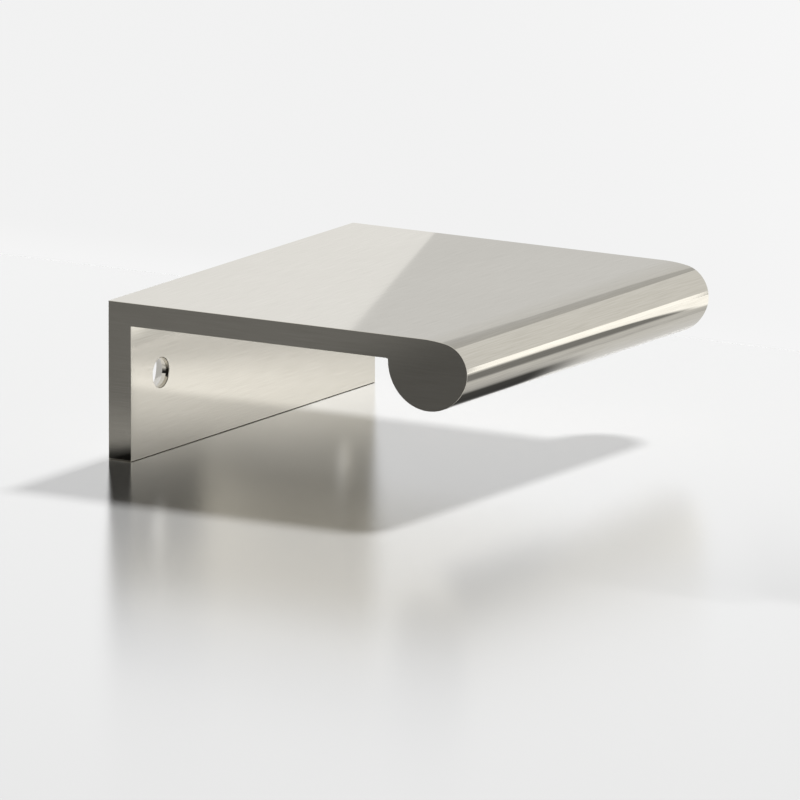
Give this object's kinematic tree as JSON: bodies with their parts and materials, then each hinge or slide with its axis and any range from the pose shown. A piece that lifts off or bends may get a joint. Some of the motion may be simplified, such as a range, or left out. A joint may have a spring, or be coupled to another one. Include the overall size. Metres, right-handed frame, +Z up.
{
  "type": "tab pull",
  "caption": "Edge-mounted tab pull: an L-shaped metal section with a rounded finger nose, screwed behind a drawer front through countersunk holes in its leg.",
  "frame": {"origin": "on the leg's seating face, midway between the centres of the two screw holes", "axes": "+X out of the seating face towards the nose, +Y along the pull, +Z up, from the leg's foot to the plate's top face"},
  "size_m": [0.0573, 0.0636, 0.0222],
  "materials": {
    "satin_nickel": "fine brushed satin nickel plate, grain along the pull"
  },
  "bodies": {
    "root": {"tab_pull": "satin_nickel"}
  },
  "joints": []
}
